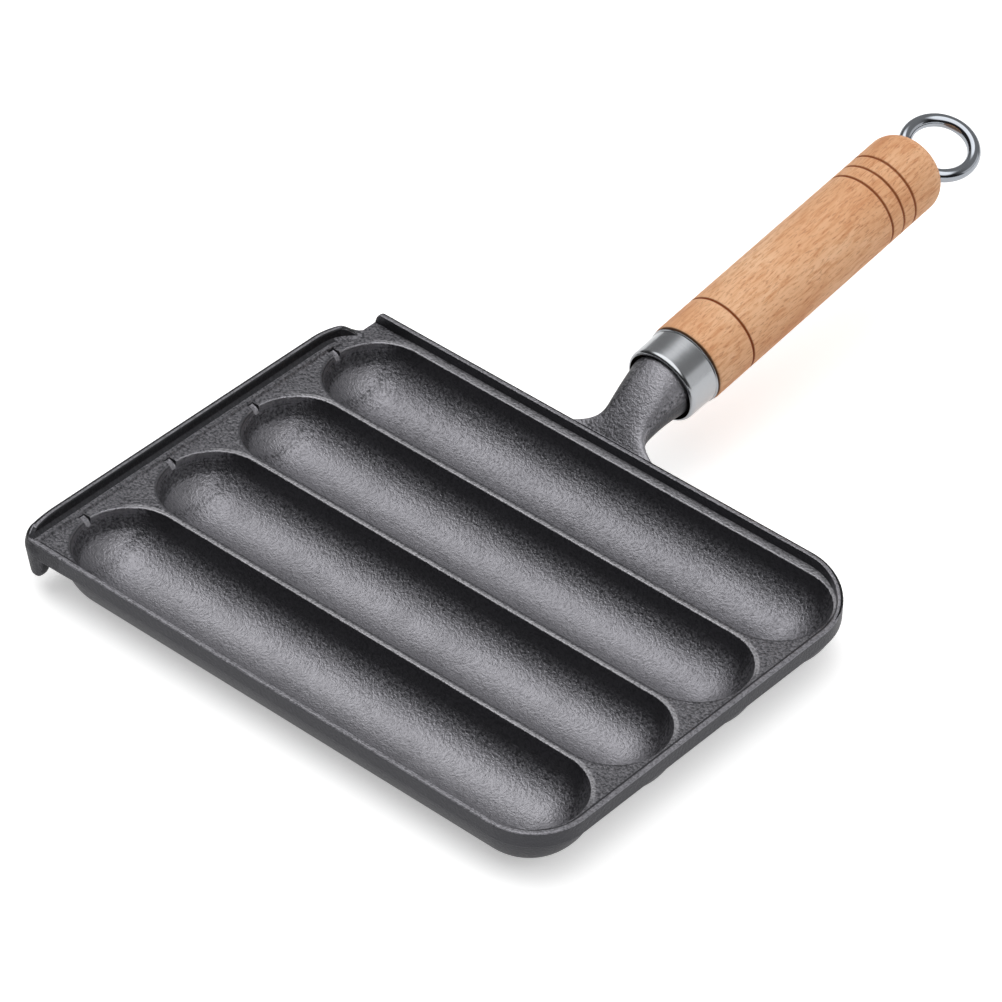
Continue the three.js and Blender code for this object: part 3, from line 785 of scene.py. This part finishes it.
def mark_finish_and_light(mesh, s, p):
    """Stores how bare each face is, with painted light and shade by the way it faces: below nought in
    painted shade, one or more in painted highlights on a trough's floor.
    """
    centre = np.empty(3 * len(mesh.polygons))
    normal = np.empty(3 * len(mesh.polygons))
    mesh.polygons.foreach_get("center", centre)
    mesh.polygons.foreach_get("normal", normal)
    x, y, z = (centre.reshape(-1, 3) - np.array(p.place)).T
    right, back, up = normal.reshape(-1, 3).T
    ease = lambda t: np.clip(t, 0, 1) ** 2 * (3 - 2 * np.clip(t, 0, 1))

    # Troughs: bare iron, with painted light where the floor is level, lighter in the front ones, and
    # painted shade on their steep sides
    off, across, lane = trough_distance(s, p, x, y)
    trough = (off < s.trough_width / 2 + s.mouth_round) & (up > 0) & (z < -TINY)
    slope = up + 0.12 * right - 0.1 * np.maximum(back, 0)
    level = ease((slope - 0.34 + 0.03 * lane) / 0.6) * (1.18 - 0.08 * lane)
    # Painted shade where the floor turns up to a left end, which keeps the painted highlight there
    # small
    level = level * (1 - 0.6 * np.maximum(right, 0))

    # Painted highlights on the left ends where they rise from the floor and near the mouth, and evenly
    # on the right ends
    scoop = ease((right - 0.3) / 0.3) * ease((up - 0.44) / 0.16) * 1.2
    near_mouth = ease(1 + z / (4 * MM))
    ends = ease((abs(right) - 0.3) / 0.4) * np.where(right > 0, 0.25 + near_mouth, 0.6)
    floor = np.maximum(np.maximum(level, scoop), 0.12 + ends)

    # Notches, neck, wall, lip and bead
    trough_end = p.field_x - s.trough_length / 2
    notch = (abs(across) < s.notch_width / 2 + 0.5 * MM) & (x < trough_end)
    notch &= (x > trough_end - 1.1 * s.notch_reach) & (z < s.ledge_height - TINY)
    notch &= (z < -TINY) | (up < 0.4)
    neck = y > p.back + 0.1 * MM
    lip_face = -p.half + s.lip_thickness
    on_lip = x < lip_face + 0.2 * MM
    lip_foot = (x < lip_face + 1.1 * MM) & (z > 0.5 * s.ledge_height) & (right > 0.1)
    corner = np.maximum(x - p.half + s.back_right_radius, 0), y - p.back + s.back_right_radius
    outward = np.where(
        on_lip, -right, (right * corner[0] + back * corner[1]) / np.maximum(np.hypot(*corner), MM))
    wall = z > s.bead_height + 0.2 * MM
    edge = (x > lip_face + s.left_land) | (y < p.front + s.bead_width)
    bead = edge & (z > 0.45 * s.bead_height) & (up > 0.4)
    bead &= y < p.back - s.wall_thickness - 2 * MM
    steep = up < 0.5
    rules = [
        # Notches: painted highlight on the floor, painted shade on the sides
        (notch, np.where(up > 0.6, RUBBED_AND_LIT, -0.2)),
        (trough, floor),
        # Neck: painted light on the faces that turn up and to the right, black on the others
        (neck, ease((up + 0.35 * right - 0.25) / 0.7) * s.neck_bare_and_lit),
        # Painted shade in the crease at the foot of the lip
        (lip_foot, -0.5),
        # Painted shade on the outer faces of the wall and the lip
        (wall & (outward > np.where(on_lip, 0.12, 0.02)), DEEP_SHADE),
        # Tops of the wall and lip: worn, and painted lighter where they face up
        (wall & (up > 0.5), RUBBED_AND_LIT),
        # Painted shade on the outer face of the lip
        (on_lip & (right < -0.3), -0.7),
        # Bead top: worn, and painted lighter where it faces up
        (bead, RUBBED_AND_LIT),
        # Black iron as painted shade on the inner face of the wall and in the fillet at the foot of the
        # bead
        (edge & (z > 0.01 * MM) & (up < 0.98), BLACK),
        # Painted shade on the skirt under the hook
        ((x < -p.half + 2 * s.front_left_radius) & steep & (z < 0), -0.4),
        # Steep faces: black iron, darker than the plate top; on the skirts this is partly painted shade
        (steep, BLACK)]
    masks, values = zip(*rules)
    bare = np.select(list(masks), list(values), s.top_bareness)
    mesh.attributes.new("bare", "FLOAT", "FACE").data.foreach_set("value", bare)


def worn_and_lit_mouths(graph, place, s, p):
    """Two masks: lands where the black has worn off, with a painted highlight kept mostly to the far
    side of each mouth, and painted shade on the near edges of the troughs beside them.
    """
    x = graph.node("ShaderNodeSeparateXYZ", {}, {0: place}, "X")
    y, z = x.other("Y"), x.other("Z") - p.place.z
    half, straight = s.trough_width / 2, (s.trough_length - s.trough_width) / 2
    away = y - (p.place.y + p.first_y)
    lane = graph.sum("ROUND", away * (1 / s.trough_pitch))
    lane = graph.sum("MINIMUM", graph.sum("MAXIMUM", lane, 0.0), s.trough_count - 1.0)
    across = away - lane * s.trough_pitch
    beside = x - p.field_x
    along = graph.sum("MAXIMUM", abs(beside) - straight, 0.0)
    off = graph.sum("SQRT", across * across + along * along) - half
    high = graph.rise(z, -0.5 * MM, -0.2 * MM)
    near = graph.rise(off, 0.0, 0.3 * MM) * graph.rise(off, 1.8 * MM, 1.2 * MM) * high
    turned = across + (graph.sum("SIGN", beside) - 1.0) * along * 0.2
    facing = graph.sum(
        "MAXIMUM", graph.rise(turned, 4 * MM, 12 * MM), graph.rise(along, 5 * MM, 1 * MM))
    facing = facing * graph.rise(turned, -12 * MM, -4 * MM)
    back = graph.rise(away - (s.trough_count - 1) * s.trough_pitch, half, half + 0.6 * MM)
    back = back * graph.rise(along, 9 * MM, 3 * MM) * graph.rise(abs(z), 0.3 * MM, 0.1 * MM)
    shaded = graph.rise(abs(off - 0.1 * MM), 0.9 * MM, 0.5 * MM) * graph.rise(turned, -4 * MM, -12 * MM)
    shaded = shaded * graph.rise(z, -1.2 * MM, -0.6 * MM)
    return graph.sum("MAXIMUM", near * facing, back * 0.8), shaded


def iron_material(f, s, p):
    """Sand-cast iron: bare in the troughs and black outside, with painted light and shade from each
    face's stored value, and a fine pitted grain.
    """
    material, graph = new_material("cast_iron")
    place = graph.node("ShaderNodeTexCoord", output="Object")
    bare = graph.node("ShaderNodeAttribute", {"attribute_name": "bare"}, output="Fac")
    worn_and_lit, shaded = worn_and_lit_mouths(graph, place, s, p)
    broad = graph.noise(place, 70, 3)
    blotch = graph.noise(place, 520, 2)
    grain = graph.noise(place, 1150, 2, 0.6)
    sand = graph.noise(place, 2600, 1)
    share = graph.sum("MINIMUM", graph.sum("MAXIMUM", bare, 0.0), 1.0)
    share = share + (grain - 0.5) * share * share * (1 - share) * 18
    # Black iron, turned to painted shade where the stored value falls below nought
    tone = graph.blend(graph.rise(bare, 0.0, -1.0), rgba(f.iron_black_and_shade), rgba(f.iron_shade))
    tone = graph.blend(share, tone, rgba(f.iron))
    specks = graph.rise(sand, 0.66, 0.76) * graph.rise(bare, 0.3, 0.8)
    # Worn iron and painted highlights: the mouth edges, faces whose stored value passes one, and sand
    # specks
    rubbed_and_lit = graph.sum("MAXIMUM", worn_and_lit * 0.6, graph.rise(bare, 1.0, 1.9) + specks * 0.5)
    tone = graph.blend(rubbed_and_lit, tone, rgba(f.iron_worn_and_lit))
    pits = graph.rise(grain, 0.52, 0.36) * (0.5 - graph.sum("MINIMUM", abs(bare), 1.0) * 0.3)
    pits = pits + graph.rise(blotch, 0.5, 0.3) * 0.14
    tone = graph.blend(pits + graph.rise(broad, 0.45, 0.7) * 0.12, tone, rgba(f.iron_black_and_shade))
    # Painted shade on the near edges of the trough mouths
    tone = graph.blend(shaded * 0.6, tone, rgba(f.iron_black_and_shade))
    rough = 0.43 + broad * 0.06 + grain * 0.1
    height = grain * 0.75 + sand * 0.25
    bump = graph.bump(1.0, 0.35 * MM, height)
    graph.surface({"Base Color": tone, "Metallic": 1.0, "Roughness": rough, "Normal": bump})
    return material


class MOULD_OT_pan(bpy.types.Operator):
    """Casts the pan with its troughs, rim, hooked lip and neck"""
    bl_idname = "mould.pan"
    bl_label = "Pan"

    def execute(self, context):
        s, h = context.scene.mould_pan, context.scene.mould_handle
        p = pan_plan(s)
        pan = plate(s, p)
        rim = bpy.data.collections.new("rim")
        for part in (bead_and_wall(s, p), lip(s, p), ledge(s, p), neck(s, p, h)):
            rim.objects.link(part)
        shell, hollow, notch = trough_shell(s, p), trough_hollow(s, p), stick_notch(s, p)
        run_graph(pan, casting_graph(), {
            "Rim": rim, "Shell": shell, "Hollow": hollow, "Notch": notch,
            "Count": s.trough_count, "Pitch": s.trough_pitch, "First": p.first_y,
            "Material": iron_material(context.scene.mould_finishes, s, p)})
        discard(shell, hollow, notch, *rim.objects)
        bpy.data.collections.remove(rim)
        tidy = bmesh.new()
        tidy.from_mesh(pan.data)
        bmesh.ops.remove_doubles(tidy, verts=tidy.verts, dist=WELD)
        bmesh.ops.dissolve_degenerate(tidy, edges=tidy.edges, dist=WELD)
        bmesh.ops.translate(tidy, verts=tidy.verts, vec=p.place)
        tidy.to_mesh(pan.data)
        tidy.free()
        mark_finish_and_light(pan.data, s, p)
        deliver(pan, "pan_casting")
        return {"FINISHED"}


# Handle


def handle_frame(context):
    """Turns the handle's own x, station and z into the row's frame."""
    h = context.scene.mould_handle
    p = pan_plan(context.scene.mould_pan)
    start = p.place + Vector((h.offset, p.back, h.rise))
    return Matrix.Translation(start) @ Matrix.Rotation(h.tilt, 4, "X")


def turned_graph(joined, cut):
    """Turns a closed profile round a circle, places it, and joins or cuts one more solid."""
    inputs = {
        "Radius": "NodeSocketFloat", "Steps": "NodeSocketInt", "Place": "NodeSocketVector",
        "Turn": "NodeSocketRotation", "Other": "NodeSocketObject", "Material": "NodeSocketMaterial"}
    graph, source = geometry_graph("Turned", inputs)
    profile = graph.node("GeometryNodeMeshToCurve", {}, {"Mesh": source})
    circle = graph.node("GeometryNodeCurvePrimitiveCircle", {}, {
        "Resolution": source.other("Steps"), "Radius": source.other("Radius")})
    ring = graph.node("GeometryNodeCurveToMesh", {}, {"Curve": circle, "Profile Curve": profile})
    placed = graph.node("GeometryNodeTransform", {}, {
        "Geometry": ring, "Translation": source.other("Place"), "Rotation": source.other("Turn")})
    if joined:
        placed = graph.boolean("UNION", {1: [placed, graph.shape_of(source.other("Other"))]})
    elif cut:
        placed = graph.boolean("DIFFERENCE", {0: placed, 1: graph.shape_of(source.other("Other"))})
    close_graph(graph, source, placed)
    return graph


def turned(name, profile, radius, steps, place, material, joined=None, cut=None):
    """A turned piece from a closed, anticlockwise profile of (radius, station) pairs."""
    points = [(r - radius, station, 0) for r, station in profile]
    edges = [(i, (i + 1) % len(points)) for i in range(len(points))]
    piece = new_object(name, points, edges, [])
    run_graph(piece, turned_graph(joined, cut), {
        "Radius": radius, "Steps": steps, "Place": place.to_translation(),
        "Turn": place.to_euler(), "Other": joined or cut, "Material": material})
    return piece


def lathe_place(place):
    """The lathe's stations run down its axis, and the handle's run along its y."""
    return place @ Matrix.Rotation(math.pi / 2, 4, "X")


def handle_coordinates(graph, place):
    coordinates = graph.node("ShaderNodeTexCoord", output="Object")
    return graph.node("ShaderNodeMapping", {"vector_type": "TEXTURE"}, {
        "Vector": coordinates, "Location": place.to_translation(), "Rotation": place.to_euler()})


def shoulder_station(h):
    return h.neck_reach + h.ferrule_length + h.clearance


def ferrule_bore(h, station):
    along = (station - h.neck_reach) / h.ferrule_length
    return mix(h.ferrule_front, h.ferrule_back, along) / 2 - h.ferrule_sheet


def ferrule_profile(h):
    """A straight sleeve whose front edge is turned in, clear of the neck."""
    front, start = h.ferrule_front / 2, h.neck_reach
    back, end = h.ferrule_back / 2, h.neck_reach + h.ferrule_length
    turned_in = [
        (front - h.ferrule_roll * (1 - math.cos(a)), start + h.ferrule_lip * (1 - math.sin(a)))
        for a in np.linspace(math.pi / 2, 0, FRONT_EDGE_STEPS + 1)
    ]
    nose = front - h.ferrule_roll
    roll = 0.4 * h.ferrule_roll
    edge = [
        (back - 0.1 * MM + roll * (1 + math.cos(a)) / 2, end - roll * (1 - a / math.pi))
        for a in np.linspace(-math.pi, math.pi / 2, BACK_EDGE_STEPS + 1)
    ]
    bore = [(ferrule_bore(h, end), end), (nose - TINY, start + 0.25 * MM)]
    return [*turned_in, *edge, *bore]


def steel_material(f, place):
    """Polished sheet with faint turning marks and a trace of handling."""
    material, graph = new_material("ferrule_steel")
    own = handle_coordinates(graph, place)
    marks = graph.noise(graph.stretch(own, 40, 2600, 40), 1, 2)
    smear = graph.noise(own, 140, 3)
    tone = graph.blend(smear, rgba([c * 0.82 for c in f.steel]), rgba(f.steel))
    rough = 0.13 + smear * 0.1 + marks * 0.05
    bump = graph.bump(0.06, 0.1 * MM, marks)
    graph.surface({"Base Color": tone, "Metallic": 1.0, "Roughness": rough, "Normal": bump})
    return material


class MOULD_OT_ferrule(bpy.types.Operator):
    """Turns the steel ferrule at the neck"""
    bl_idname = "mould.ferrule"
    bl_label = "Ferrule"

    def execute(self, context):
        h, place = context.scene.mould_handle, handle_frame(context)
        piece = turned(
            "steel_ferrule", ferrule_profile(h), h.ferrule_front / 2, TURN_STEPS, lathe_place(place),
            steel_material(context.scene.mould_finishes, place))
        deliver(piece, "ferrule")
        return {"FINISHED"}


def groove_stations(h):
    shoulder = shoulder_station(h)
    last = shoulder + h.grip_length - h.last_groove
    tail = [last - i * h.tail_pitch for i in reversed(range(h.tail_grooves))]
    return [shoulder + h.first_groove, *tail]


def grip_profile(h):
    """Spigot in the ferrule, rounded shoulder, grooved barrel and a domed end."""
    radius = h.grip_diameter / 2
    bore = h.rod_diameter / 2 + h.clearance
    shoulder = shoulder_station(h)
    end = shoulder + h.grip_length
    spigot = h.neck_reach + h.boss_length + h.clearance
    quarter = np.linspace(0, math.pi / 2, QUARTER_STEPS + 1)
    profile = [
        (bore, spigot), (ferrule_bore(h, spigot) - h.clearance, spigot),
        (ferrule_bore(h, shoulder) - h.clearance, shoulder)]
    profile += [
        (radius - h.grip_shoulder * (1 - math.sin(a)), shoulder + h.grip_shoulder * (1 - math.cos(a)))
        for a in quarter]
    for station in groove_stations(h):
        for t in np.linspace(-1, 1, GROOVE_STEPS + 1):
            depth = h.groove_depth * (0.5 + 0.5 * math.cos(math.pi * t))
            profile.append((radius - depth, station + t * h.groove_width / 2))
    profile += [
        (radius - h.grip_end * (1 - math.cos(a)), end - h.grip_end * (1 - math.sin(a)))
        for a in np.linspace(0, math.pi / 2, DOME_STEPS + 1)]
    return [*profile, (bore, end)]


def wood_material(f, h, place):
    """Beech with short dark rays along the grip, and wood burnt by friction in the grooves."""
    material, graph = new_material("grip_wood")
    own = handle_coordinates(graph, place)
    wander = graph.noise(own, 90, 2)
    patches = graph.noise(graph.stretch(own, 70, 22, 70), 1, 3, 0.55)
    streaks = graph.noise(graph.stretch(own, 1000, 130, 1000), 1, 4, 0.6, 0.6)
    rays = graph.noise(graph.stretch(own, 2300, 420, 2300), 1, 2, 0.5, 0.3)
    tone = graph.blend(graph.rise(patches, 0.42, 0.75), rgba(f.wood), rgba(f.wood_light))
    tone = graph.blend(graph.rise(patches, 0.5, 0.25) * 0.9, tone, rgba(f.wood_dark))
    tone = graph.blend(graph.rise(streaks, 0.42, 0.7) * 0.8, tone, rgba(f.wood_dark))
    dark_rays = graph.rise(rays, 0.54, 0.68)
    tone = graph.blend(dark_rays * 0.4, tone, rgba(f.fleck))
    station = graph.node("ShaderNodeSeparateXYZ", {}, {0: own}, "Y") + (wander - 0.5) * (0.5 * MM)
    first, *tail = [abs(station - groove) for groove in groove_stations(h)]
    wide, narrow = 0.55 * h.groove_width, 0.2 * h.groove_width
    burn = graph.rise(first, wide, narrow) + graph.rise(graph.lowest(*tail), wide, narrow) * 0.9
    shoulder = shoulder_station(h)
    # A dark band on the wood just behind the ferrule
    char = graph.rise(station, shoulder + 0.6 * MM, shoulder + 0.2 * MM)
    tone = graph.blend(burn * 0.95, tone, rgba(f.burnt))
    tone = graph.blend(char * 0.9, tone, rgba(f.char))
    rough = 0.52 + streaks * 0.14
    bump = graph.bump(0.15, 0.2 * MM, streaks)
    graph.surface({
        "Base Color": tone, "Roughness": rough, "Normal": bump, "Specular IOR Level": 0.15})
    return material


def eye_place(h, place):
    shoulder = shoulder_station(h)
    centre = shoulder + h.grip_length - h.eye_seat + h.clearance + h.eye_wire / 2 + h.eye_radius
    rolled = place @ Matrix.Rotation(h.eye_roll, 4, "Y")
    return rolled @ Matrix.Translation((h.eye_offset, centre, 0)), centre


def wire_circle(radius, middle):
    return [
        (middle + radius * math.cos(a), radius * math.sin(a))
        for a in np.linspace(0, 2 * math.pi, WIRE_STEPS, endpoint=False)
    ]


class MOULD_OT_grip(bpy.types.Operator):
    """Turns the wooden grip, with a seat for the foot of the eye"""
    bl_idname = "mould.grip"
    bl_label = "Grip"

    def execute(self, context):
        h, place = context.scene.mould_handle, handle_frame(context)
        ring, _ = eye_place(h, place)
        wood = wood_material(context.scene.mould_finishes, h, place)
        seat = turned(
            "seat", wire_circle(h.eye_wire / 2 + h.clearance, h.eye_radius), h.eye_radius, EYE_STEPS,
            ring, wood)
        piece = turned(
            "turned_grip", grip_profile(h), h.grip_diameter / 2, TURN_STEPS, lathe_place(place), wood,
            cut=seat)
        discard(seat)
        deliver(piece, "wooden_grip")
        return {"FINISHED"}


def chrome_material(f, place):
    """Bright plating with faint smudges."""
    material, graph = new_material("eye_chrome")
    own = handle_coordinates(graph, place)
    smudge = graph.noise(own, 220, 3)
    tone = graph.blend(smudge, rgba([c * 0.86 for c in f.chrome]), rgba(f.chrome))
    rough = 0.05 + smudge * 0.08
    graph.surface({"Base Color": tone, "Metallic": 1.0, "Roughness": rough})
    return material


class MOULD_OT_eye(bpy.types.Operator):
    """Bends the hanging eye on the end of the tie rod"""
    bl_idname = "mould.eye"
    bl_label = "Eye"

    def execute(self, context):
        h, place = context.scene.mould_handle, handle_frame(context)
        ring, centre = eye_place(h, place)
        tip = h.neck_reach + h.boss_length - h.rod_grip + h.clearance
        circle = 2 * math.pi * np.arange(WIRE_STEPS) / WIRE_STEPS
        radius = h.rod_diameter / 2
        rod = solid("rod", [
            np.array([
                place @ Vector((radius * math.cos(a), station, radius * math.sin(a))) for a in circle])
            for station in (tip, centre - h.eye_radius)
        ])
        piece = turned(
            "hanging_eye", wire_circle(h.eye_wire / 2, h.eye_radius), h.eye_radius, EYE_STEPS, ring,
            chrome_material(context.scene.mould_finishes, place), joined=rod)
        discard(rod)
        deliver(piece, "eye_rod")
        return {"FINISHED"}


# Stage


def floor_material(studio):
    """White paper that the camera and shiny pieces see a little brighter, under its shadows."""
    material, graph = new_material("floor_paper")
    rays = graph.node("ShaderNodeLightPath", output="Is Camera Ray")
    seen = graph.sum("MAXIMUM", rays, rays.other("Is Glossy Ray"))
    seen = graph.sum("MAXIMUM", seen, rays.other("Is Transmission Ray"))
    white = [0.9] * 3
    paper = graph.node("ShaderNodeBsdfDiffuse", {}, {"Color": rgba(white)})
    glow = graph.node("ShaderNodeEmission", {}, {"Color": seen * studio.floor_glow})
    both = graph.node("ShaderNodeAddShader", {}, {0: paper, 1: glow})
    graph.node("ShaderNodeOutputMaterial", {}, {"Surface": both})
    return material


def studio_world(studio):
    """A wide panel overhead and a low one behind on the right, in a room that is dim in front."""
    world = bpy.data.worlds.new("studio")
    world.use_nodes = True
    graph = Graph(world.node_tree)
    direction = graph.node("ShaderNodeTexCoord", output="Generated")
    x = graph.node("ShaderNodeSeparateXYZ", {}, {0: direction}, "X")
    y, z = x.other("Y"), x.other("Z")
    # The panel is an oval around the zenith, a little to the front and skewed
    half_width, half_depth, skew = 0.74, 0.47, 0.18
    to_left, to_front = 0.02, 0.105
    across = (x + to_left) * (1 / half_width)
    along = (y + x * skew + to_front) * (1 / half_depth)
    panel = graph.rise(across * across + along * along, 1.25, 0.7) * graph.rise(z, 0.0, 0.05)
    # The window stands on the horizon, at a bearing from the right
    bearing = math.radians(40)
    ahead = x * math.cos(bearing) + y * math.sin(bearing)
    beside = y * math.cos(bearing) - x * math.sin(bearing)
    window = graph.rise(abs(beside), 0.46, 0.38) * graph.rise(z, 0.52, 0.44)
    window = window * graph.rise(ahead, 0.3, 0.4)
    behind = graph.rise(y, -0.1, 0.5)
    light = studio.walls + behind * studio.back_wall + panel * studio.softbox + window * studio.window
    background = graph.node("ShaderNodeBackground", {}, {"Color": light})
    graph.node("ShaderNodeOutputWorld", {}, {"Surface": background})
    return world


class MOULD_OT_stage(bpy.types.Operator):
    """Lays the floor and sets the light and the camera"""
    bl_idname = "mould.stage"
    bl_label = "Stage"

    def execute(self, context):
        scene, studio = context.scene, context.scene.mould_studio
        reach, below, sensor, view_end = 3.0, -SHARP, 36, 20
        floor = new_object(
            "floor", [(-reach, -reach, below), (reach, -reach, below), (reach, reach, below),
                      (-reach, reach, below)], [], [(0, 1, 2, 3)])
        floor.data.materials.append(floor_material(studio))
        scene.world = studio_world(studio)
        scene.view_settings.view_transform = "Standard"
        lens = bpy.data.cameras.new("camera")
        lens.lens = studio.focal_length
        lens.sensor_width = sensor
        lens.clip_end = view_end
        camera = bpy.data.objects.new("camera", lens)
        scene.collection.objects.link(camera)
        turned_to = Euler((math.pi / 2 - studio.elevation, 0, studio.azimuth)).to_matrix().to_4x4()
        turned_to = turned_to @ Matrix.Rotation(studio.roll, 4, "Z")
        back = turned_to.to_3x3() @ Vector((0, 0, 1))
        stand = Vector(studio.target) + back * studio.distance
        camera.matrix_world = Matrix.Translation(stand) @ turned_to
        scene.camera = camera
        return {"FINISHED"}


class MOULD_PT_sidebar(bpy.types.Panel):
    """Lists the pieces of the mould"""
    bl_idname = "MOULD_PT_sidebar"
    bl_label = "Sausage mould"
    bl_space_type = "VIEW_3D"
    bl_region_type = "UI"
    bl_category = "Mould"

    def draw(self, context):
        for operator in OPERATORS:
            self.layout.operator(operator.bl_idname)


GROUPS = {
    "mould_pan": PanSizes, "mould_handle": HandleSizes, "mould_finishes": Finishes,
    "mould_studio": Studio}
OPERATORS = (MOULD_OT_pan, MOULD_OT_ferrule, MOULD_OT_grip, MOULD_OT_eye, MOULD_OT_stage)


def register():
    for group in GROUPS.values():
        bpy.utils.register_class(group)
    for name, group in GROUPS.items():
        setattr(bpy.types.Scene, name, PointerProperty(type=group))
    for operator in OPERATORS:
        bpy.utils.register_class(operator)
    bpy.utils.register_class(MOULD_PT_sidebar)


def unregister():
    bpy.utils.unregister_class(MOULD_PT_sidebar)
    for operator in OPERATORS:
        bpy.utils.unregister_class(operator)
    for name, group in GROUPS.items():
        delattr(bpy.types.Scene, name)
        bpy.utils.unregister_class(group)


def main():
    register()
    bpy.ops.mould.pan()
    bpy.ops.mould.ferrule()
    bpy.ops.mould.grip()
    bpy.ops.mould.eye()
    bpy.ops.mould.stage()


if __name__ == "__main__":
    main()
